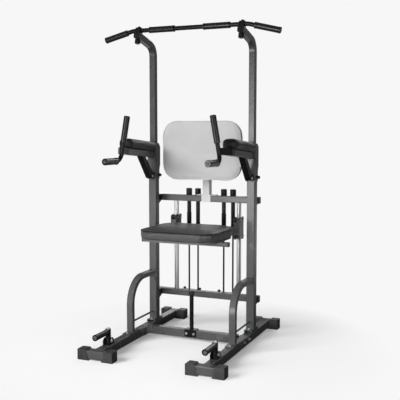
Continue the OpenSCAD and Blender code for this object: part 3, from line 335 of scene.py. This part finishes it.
spanX = 0.328  # half the distance between the uprights
uprightY = 0.206
sleeveOut = 0.0299  # from the upright's middle to its sleeve's face
armLook = {"tilt": math.radians(4.5), "height": 1.122}
seatLook = {"size": (0.500, 0.428), "side": 0.051, "corner": 0.118, "draw": 0.004, "voxel": 0.006,
    "cap": 0.003, "shrink": 0.0, "pipe": 0.0032, "groove": 0.0020, "slot": "black_vinyl", "body": "carriage",
    "pipeFinish": "arm_vinyl", "forward": 0.218, "height": 0.643}
backLook = {"size": (0.530, 0.373), "side": 0.0468, "corner": 0.102, "draw": 0.004, "voxel": 0.006,
    "cap": 0.003, "shrink": 0.0, "pipe": 0.0028, "groove": 0.0020, "slot": "pale_vinyl", "body": "backrest",
    "behind": 0.035, "height": 1.149}
armPadLook = {"size": (0.088, 0.342), "side": 0.044, "voxel": 0.004, "cap": 0.002, "shrink": 0.001,
    "pipe": 0.0, "groove": 0.0012, "slot": "black_vinyl", "finish": "arm_vinyl", "body": "frame",
    "inset": 0.004, "start": 0.014, "rise": 0.020}
clothLook = {"quality": 5, "mass": 0.3, "stiffness": 20.0, "bending": 0.6, "pressure": 4.0, "steps": 20,
    "foot": 0.25}  # below this share of the side the press fades out, so the base stays on its board
sewLook = {"seam": 0.0035, "near": 0.012, "pucker": 0.0006, "waves": (310.0, 290.0), "sway": (2.0, 70.0),
    "lowest": 0.0002}
pipeLook = {"sides": 8, "arcSteps": 10, "sideSteps": 12, "proud": 0.35}


def pressOut(obj, body, look):
    rest = points(body)
    cloth = obj.modifiers.new("press", "CLOTH")
    cloth.settings.quality = clothLook["quality"]
    cloth.settings.mass = clothLook["mass"]
    cloth.settings.tension_stiffness = clothLook["stiffness"]
    cloth.settings.compression_stiffness = clothLook["stiffness"]
    cloth.settings.bending_stiffness = clothLook["bending"]
    cloth.settings.use_pressure = True
    cloth.settings.uniform_pressure_force = clothLook["pressure"]
    cloth.settings.effector_weights.gravity = 0.0
    cloth.point_cache.frame_start = 1
    cloth.point_cache.frame_end = clothLook["steps"]
    for step in range(1, clothLook["steps"] + 1):
        scene.frame_set(step)
    pressed = points(meshOf(obj))
    obj.modifiers.clear()
    scene.frame_set(1)
    move = pressed - rest
    length = np.linalg.norm(move, axis=1, keepdims=True)
    move *= np.minimum(1.0, look["cap"] / np.maximum(length, 1e-9))
    low = np.clip(rest[:, 2] / (clothLook["foot"] * look["side"]), 0.0, 1.0)
    setPoints(body, rest + move * low[:, None])


def sewSeam(body, look):
    co = points(body)
    normals = np.zeros(len(body.vertices) * 3)
    body.vertices.foreach_get("normal", normals)
    above = co[:, 2] - look["side"]
    seam = np.exp(-(above / sewLook["seam"]) ** 2)
    near = np.exp(-(above / sewLook["near"]) ** 2)
    sway = sewLook["sway"][0] * np.sin(co[:, 1] * sewLook["sway"][1])
    pucker = np.sin(co[:, 0] * sewLook["waves"][0] + sway) * np.sin(co[:, 1] * sewLook["waves"][1])
    depth = look["groove"] * seam + sewLook["pucker"] * near * (0.5 + 0.5 * pucker)
    co -= normals.reshape(-1, 3) * depth[:, None]
    co[:, 2] = np.maximum(co[:, 2], sewLook["lowest"])
    setPoints(body, co)


def addPiping(name, done, place, look):
    corners = [v.co.copy() for v in done.vertices]
    lookup = BVHTree.FromPolygons(corners, [tuple(p.vertices) for p in done.polygons])
    path = []
    rim = rimPath(look["size"], look["corner"], look["draw"], look["side"],
        pipeLook["arcSteps"], pipeLook["sideSteps"])
    for p in rim:
        spot, normal, index, distance = lookup.find_nearest(place @ Vector(p))
        path.append(spot + normal * look["pipe"] * pipeLook["proud"])
    pipeMesh = tubeMesh(name + "Piping", path, look["pipe"], pipeLook["sides"], True)
    pipe = newObject(name + "Piping", pipeMesh, look["slot"], look.get("pipeFinish"))
    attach(pipe, look["body"])


def makeCushion(name, nodeName, place, look):
    mesh = nodes[nodeName].data.copy()
    mesh.transform(place.inverted())
    co = points(mesh)
    co[:, :2] *= 1 - look["shrink"] / np.array([look["size"][0] / 2, look["size"][1] / 2])
    setPoints(mesh, co)
    obj = newObject(name, mesh, look["slot"], look.get("finish"))
    remesh = obj.modifiers.new("voxels", "REMESH")
    remesh.mode = "VOXEL"
    remesh.voxel_size = look["voxel"]
    body = meshOf(obj)
    obj.modifiers.clear()
    obj.data = body
    pressOut(obj, body, look)
    sewSeam(body, look)
    finer = obj.modifiers.new("finer", "SUBSURF")
    finer.levels = 1
    finer.render_levels = 1
    done = meshOf(obj)
    obj.modifiers.clear()
    done.transform(place)
    obj.data = done
    smooth(done)
    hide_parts(nodeName)
    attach(obj, look["body"])
    if look["pipe"] > 0.0:
        addPiping(name, done, place, look)
    print("stage: cushion", name, len(done.vertices), "points")


seatPlace = Matrix.Translation((0.0, uprightY - seatLook["forward"], seatLook["height"]))
backPlace = Matrix.Translation((0.0, uprightY + backLook["behind"], backLook["height"]))
backPlace = backPlace @ Matrix.Rotation(math.pi / 2, 4, "X")
makeCushion("seatCushion", "seat_pad", seatPlace, seatLook)
makeCushion("backCushion", "backrest_pad", backPlace, backLook)
armPads = ((-1, "arm_pad_left", "armCushionLeft"), (1, "arm_pad_right", "armCushionRight"))
for side, nodeName, name in armPads:
    armPlace = Matrix.Translation((side * spanX, uprightY - sleeveOut, armLook["height"]))
    armPlace = armPlace @ Matrix.Rotation(-armLook["tilt"], 4, "X")
    middle = armPadLook["start"] + armPadLook["size"][1] / 2
    armPlace = armPlace @ Matrix.Translation((-side * armPadLook["inset"], -middle, armPadLook["rise"]))
    makeCushion(name, nodeName, armPlace, armPadLook)


# Elastic bands stretch between the upper anchors and the carriage

bandLook = {"xs": (0.089, 0.151), "y": uprightY + 0.152, "top": 0.846, "bottom": 0.682, "radius": 0.013,
    "rings": 40, "sides": 24}


def makeBands(name, nodeName, side):
    rings = bandLook["rings"]
    rise = bandLook["top"] - bandLook["bottom"]
    tubes = []
    for x in bandLook["xs"]:
        path = [(side * x, bandLook["y"], bandLook["bottom"] + rise * i / rings) for i in range(rings + 1)]
        tubes.append(tubeMesh("tube", path, bandLook["radius"], bandLook["sides"], False))
    obj = newObject(name, joinMeshes(name, tubes), "black_rubber")
    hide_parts(nodeName)
    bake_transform(obj)


makeBands("bandsLeft", "elastic_bands_left", -1)
makeBands("bandsRight", "elastic_bands_right", 1)
print("stage: bands made")


# Small fittings: rings of points set along an axis; profiles are (radius or width, height)

sharpEdge = math.radians(32)
toFront = (0.0, -1.0, 0.0)
upwards = (0.0, 0.0, 1.0)


def turned(look):
    rings = []
    for r, h in look["profile"]:
        turns = [2 * math.pi * j / look["sides"] for j in range(look["sides"])]
        rings.append([(r * math.cos(turn), r * math.sin(turn), h) for turn in turns])
    return rings


def squared(look):
    return [rimPath((w, w), look["corner"] * w, 0.0, h, look["arcSteps"], 2) for w, h in look["profile"]]


def onBothSides(x, y, z, axis):
    return [((side * x, y, z), axis) for side in (-1, 1)]


def onCheeks(look, side):
    x = side * spanX
    return [((x + face * look["half"], look["y"], look["z"]), (face, 0.0, 0.0)) for face in (-1, 1)]


def addFittings(name, rings, spots, slotName, body, finishName=None):
    verts = []
    faces = []
    count = len(rings[0])
    for at, axis in spots:
        turn = Vector(upwards).rotation_difference(Vector(axis)).to_matrix().to_4x4()
        move = Matrix.Translation(at) @ turn
        start = len(verts)
        last = start + (len(rings) - 1) * count
        for ring in rings:
            verts.extend(move @ Vector(v) for v in ring)
        for low in range(start, last, count):
            for j in range(count):
                k = (j + 1) % count
                faces.append((low + j, low + k, low + count + k, low + count + j))
        faces.append(tuple(start + j for j in range(count))[::-1])
        faces.append(tuple(last + j for j in range(count)))
    mesh = newMesh(name, verts, faces)
    mesh.set_sharp_from_angle(angle=sharpEdge)
    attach(newObject(name, mesh, slotName, finishName), body)


tubePlugLook = {"profile": [(0.0332, -0.012), (0.0332, -0.0004), (0.0376, 0.0), (0.0376, 0.0012),
    (0.0360, 0.0022), (0.0300, 0.0026)], "corner": 0.11, "arcSteps": 4, "y": -0.0111, "z": 1.8382,
    "axis": (0.0, -0.9703, 0.2419)}
spots = onBothSides(spanX, tubePlugLook["y"], tubePlugLook["z"], tubePlugLook["axis"])
addFittings("tubePlugs", squared(tubePlugLook), spots, "black_plastic", "top_frame", "dark_plastic")

hexLook = {"profile": [(0.0088, 0.0), (0.0088, 0.0046), (0.0074, 0.0062), (0.0030, 0.0062)], "sides": 6}
washerLook = {"profile": [(0.0110, 0.0), (0.0110, 0.0009), (0.0104, 0.0014), (0.0060, 0.0014)], "sides": 24}
pushupLook = {"y": -0.380, "z": 0.080, "half": 0.020, "top": 0.1465, "gripEnd": -0.523, "gripZ": 0.130}
spots = []
for side in (-1, 1):
    spots.append(((side * spanX, pushupLook["y"], pushupLook["top"]), upwards))
    spots.extend(onCheeks(pushupLook, side))
addFittings("pushupBolts", turned(hexLook), spots, "zinc_steel", "frame")
addFittings("pushupWashers", turned(washerLook), spots, "zinc_steel", "frame")

pushupPlugLook = {"profile": [(0.0105, 0.0), (0.0105, 0.0009), (0.0092, 0.0019), (0.0050, 0.0019),
    (0.0042, 0.0006), (0.0006, 0.0006)], "sides": 28}
spots = onBothSides(spanX, pushupLook["gripEnd"], pushupLook["gripZ"], toFront)
addFittings("pushupPlugs", turned(pushupPlugLook), spots, "grey_paint", "frame")

# the pale grey of these grip-end plugs is painted highlight, standing for the glint on the domed grip ends
dipPlugLook = {"profile": [(0.0090, 0.0), (0.0090, 0.0006), (0.0076, 0.0014), (0.0006, 0.0018)], "sides": 28,
    "x": 0.306, "y": -0.435, "z": 1.096}
spots = onBothSides(dipPlugLook["x"], dipPlugLook["y"], dipPlugLook["z"], toFront)
addFittings("dipPlugs", turned(dipPlugLook), spots, "grey_paint", "frame")

strutBoltLook = {"profile": [(0.0078, 0.0), (0.0078, 0.0022), (0.0060, 0.0042), (0.0020, 0.0050)],
    "sides": 24, "half": 0.018, "y": 0.150, "z": 0.990}
spots = onCheeks(strutBoltLook, -1) + onCheeks(strutBoltLook, 1)
addFittings("strutBolts", turned(strutBoltLook), spots, "zinc_steel", "frame")

sleeveCapLook = {"profile": [(0.0118, 0.0), (0.0118, 0.0022), (0.0098, 0.0034), (0.0094, 0.0110),
    (0.0076, 0.0146), (0.0032, 0.0160), (0.0006, 0.0160)], "sides": 28, "half": sleeveOut, "y": 0.2185,
    "z": 0.992}
spots = onCheeks(sleeveCapLook, -1) + onCheeks(sleeveCapLook, 1)
addFittings("sleeveCaps", turned(sleeveCapLook), spots, "black_plastic", "frame", "dark_plastic")

pegCapLook = {"profile": [(0.0064, -0.004), (0.0078, 0.0), (0.0092, 0.003), (0.0092, 0.006), (0.0068, 0.009),
    (0.0006, 0.010)], "sides": 24, "xs": (0.067, 0.173), "y": 0.336, "z": 0.251}
pegXs = [side * x for side in (-1, 1) for x in pegCapLook["xs"]]
spots = [((x, pegCapLook["y"], pegCapLook["z"]), upwards) for x in pegXs]
addFittings("pegCaps", turned(pegCapLook), spots, "black_plastic", "frame", "dark_plastic")
print("stage: fittings made")


# Weld beads where tubes meet plates

weldLook = {"radius": 0.0021, "ripple": 0.22, "wave": 2.1, "step": 0.0016, "sides": 7, "corner": 0.003}
braceWeld = {"size": (0.040, 0.030), "footY": -0.114, "footZ": 0.0622, "topY": 0.1748, "topZ": 0.375}
armWeld = {"size": (0.040, 0.040), "y": 0.1758}
railWeld = {"half": 0.025, "flat": 0.021, "low": 0.010, "shoulder": 0.052, "top": 0.056,
    "ys": (-0.477, 0.477)}
shoeWeld = {"half": 0.022, "z": 0.0722, "ys": (0.181, 0.231)}


def weldPath(corners, closed):
    ends = corners + corners[:1] if closed else corners
    path = []
    for first, second in zip(ends, ends[1:]):
        first = Vector(first)
        second = Vector(second)
        count = max(1, round((second - first).length / weldLook["step"]))
        path.extend(first.lerp(second, i / count) for i in range(count))
    if not closed:
        path.append(Vector(ends[-1]))
    return path


def aroundTube(size):
    c = weldLook["corner"]
    u = size[0] / 2
    v = size[1] / 2
    half = [(u - c, v), (-u + c, v), (-u, v - c), (-u, -v + c)]
    return half + [(-a, -b) for a, b in half]


welds = []
for side in (-1, 1):
    x = side * spanX
    braceRing = aroundTube(braceWeld["size"])
    armRing = aroundTube(armWeld["size"])
    welds.append(([(x + a, braceWeld["footY"] + b, braceWeld["footZ"]) for a, b in braceRing], True))
    welds.append(([(x + a, armWeld["y"], armLook["height"] + b) for a, b in armRing], True))
    welds.append(([(x + a, braceWeld["topY"], braceWeld["topZ"] + b) for a, b in braceRing], True))
    left, right = x - railWeld["half"], x + railWeld["half"]
    for y in railWeld["ys"]:
        welds.append(([(left, y, railWeld["low"]), (left, y, railWeld["shoulder"]),
            (x - railWeld["flat"], y, railWeld["top"]), (x + railWeld["flat"], y, railWeld["top"]),
            (right, y, railWeld["shoulder"]), (right, y, railWeld["low"])], False))
    for y in shoeWeld["ys"]:
        ends = [(x - shoeWeld["half"], y, shoeWeld["z"]), (x + shoeWeld["half"], y, shoeWeld["z"])]
        welds.append((ends, False))
beads = []
for corners, closed in welds:
    path = weldPath(corners, closed)
    ripples = [weldLook["ripple"] * math.sin(weldLook["wave"] * i) for i in range(len(path))]
    radii = [weldLook["radius"] * (1 + ripple) for ripple in ripples]
    beads.append(tubeMesh("bead", path, radii, weldLook["sides"], closed))
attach(newObject("weldBeads", joinMeshes("weldBeads", beads), "grey_paint"), "frame")
print("stage: welds made,", len(welds))


# Studio: camera, floor, surroundings and lamps

cameraLook = {"place": (1.687, -3.770, 1.245), "pitch": 5.31, "turn": 23.12, "lens": 63.19, "sensor": 36.0,
    "reach": 200.0}
camera = bpy.data.objects.new("camera", bpy.data.cameras.new("camera"))
scene.collection.objects.link(camera)
camera.location = cameraLook["place"]
camera.rotation_euler = (math.radians(90 - cameraLook["pitch"]), 0.0, math.radians(cameraLook["turn"]))
camera.data.lens = cameraLook["lens"]
camera.data.sensor_width = cameraLook["sensor"]
camera.data.sensor_fit = "HORIZONTAL"
camera.data.clip_end = cameraLook["reach"]
scene.camera = camera
scene.view_settings.view_transform = "Standard"

# The floor keeps the shadow near the tower and fades to the plain background further out
floorLook = {"half": 60.0, "shown": 0.93, "matte": 1.08, "uneven": 0.01, "grainScale": 3.0, "bounce": 0.28,
    "mirror": (0.05, 0.85), "mirrorReach": (0.8, 3.5), "shadow": 0.80, "near": 0.50, "far": 1.2}
half = floorLook["half"]
corners = [(-half, -half, 0.0), (half, -half, 0.0), (half, half, 0.0), (-half, half, 0.0)]
floorMesh = bpy.data.meshes.new("floor")
floorMesh.from_pydata(corners, [], [(0, 1, 2, 3)])
floor = bpy.data.objects.new("floor", floorMesh)
scene.collection.objects.link(floor)
floorMat = bpy.data.materials.new("floorPale")
floorMat.use_nodes = True
floorTree = floorMat.node_tree
floorTree.nodes.clear()
floorRoot = Wire(floorTree)
paths = floorTree.nodes.new("ShaderNodeLightPath")
seen = Wire(floorTree, paths.outputs["Is Camera Ray"])
glossy = Wire(floorTree, paths.outputs["Is Glossy Ray"])
grain = floorRoot.add("ShaderNodeTexNoise", {}, {"Scale": floorLook["grainScale"]})
shades = [rgba(floorLook["matte"] + change) for change in (-floorLook["uneven"], floorLook["uneven"])]
paleTone = grain.span(*noiseLook["tone"], 0.0, 1.0).blendColor(*shades)
floorPlace = floorRoot.add("ShaderNodeTexCoord", {}, {}, "Object")
reach = floorRoot.add("ShaderNodeVectorMath", {"operation": "LENGTH"}, {0: floorPlace}, 1)
mirrorShades = [rgba(shade) for shade in floorLook["mirror"]]
mirrored = reach.span(*floorLook["mirrorReach"], 0.0, 1.0).blendColor(*mirrorShades)
unseenTone = glossy.blendColor(rgba(floorLook["bounce"]), mirrored)
paleTone = seen.blendColor(unseenTone, paleTone)
matte = floorRoot.add("ShaderNodeBsdfDiffuse", {}, {"Color": paleTone})
glow = floorRoot.add("ShaderNodeEmission", {}, {"Color": rgba(1.0), "Strength": floorLook["shown"]})
plain = 1.0 - reach.span(floorLook["near"], floorLook["far"], floorLook["shadow"], 0.0)
mixed = floorRoot.add("ShaderNodeMixShader", {}, {0: seen * plain, 1: matte, 2: glow})
floorOut = floorTree.nodes.new("ShaderNodeOutputMaterial")
floorTree.links.new(mixed.socket, floorOut.inputs[0])
floorMesh.materials.append(floorMat)

worldLook = {"fill": 0.12, "horizon": 0.25, "above": 0.10, "fade": (0.05, 0.30)}
world = bpy.data.worlds.new("studio")
scene.world = world
world.use_nodes = True
worldTree = world.node_tree
worldTree.nodes.clear()
worldRoot = Wire(worldTree)
worldPaths = worldTree.nodes.new("ShaderNodeLightPath")
worldSeen = Wire(worldTree, worldPaths.outputs["Is Camera Ray"])
worldGlossy = Wire(worldTree, worldPaths.outputs["Is Glossy Ray"])
worldPlace = worldRoot.add("ShaderNodeTexCoord", {}, {}, "Generated")
worldHeight = worldRoot.add("ShaderNodeSeparateXYZ", {}, {0: worldPlace}, 2)
fade = worldHeight.span(*worldLook["fade"], 0.0, 1.0)
mirroredSky = fade.blendColor(rgba(worldLook["horizon"]), rgba(worldLook["above"]))
unseenSky = worldGlossy.blendColor(rgba(worldLook["fill"]), mirroredSky)
worldColor = worldSeen.blendColor(unseenSky, rgba(floorLook["shown"]))
sky = worldRoot.add("ShaderNodeBackground", {}, {"Color": worldColor, "Strength": 1.0})
worldOut = worldTree.nodes.new("ShaderNodeOutputWorld")
worldTree.links.new(sky.socket, worldOut.inputs[0])

lightLooks = [
    {"name": "key", "place": (-6.2, -8.8, 6.6), "aim": (0.0, 0.0, 0.9), "size": (6.0, 6.0), "power": 1600.0,
        "mirrored": False},
    {"name": "panel", "place": (-1.6, -5.6, 0.95), "aim": (0.3, 0.0, 0.9), "size": (0.9, 1.8), "power": 50.0},
    {"name": "strip", "place": (5.4, -4.0, 1.5), "aim": (0.0, 0.0, 1.2), "size": (1.2, 2.4), "power": 75.0},
    {"name": "front", "place": (0.3, -2.8, 0.3), "aim": (0.0, 0.0, 0.3), "size": (1.0, 0.3), "power": 3.8,
        "mirrored": False, "spread": 40.0},
    {"name": "side", "place": (7.0, -1.0, 3.0), "aim": (0.0, 0.0, 0.9), "size": (3.0, 3.0), "power": 4.0},
    {"name": "back", "place": (0.5, 9.0, 6.5), "aim": (0.0, 0.0, 0.9), "size": (5.0, 5.0), "power": 280.0},
    {"name": "rim", "place": (-3.2, 7.5, 1.7), "aim": (0.0, 0.0, 0.7), "size": (1.6, 1.6), "power": 14.0},
]
for look in lightLooks:
    data = bpy.data.lights.new(look["name"], "AREA")
    data.shape = "RECTANGLE"
    data.size, data.size_y = look["size"]
    data.energy = look["power"]
    data.spread = math.radians(look.get("spread", 180.0))
    lamp = bpy.data.objects.new(look["name"], data)
    scene.collection.objects.link(lamp)
    lamp.visible_camera = False
    lamp.visible_glossy = look.get("mirrored", True)
    lamp.location = look["place"]
    aim = Vector(look["aim"]) - Vector(look["place"])
    lamp.rotation_euler = aim.to_track_quat("-Z", "Y").to_euler()
print("stage: studio set")
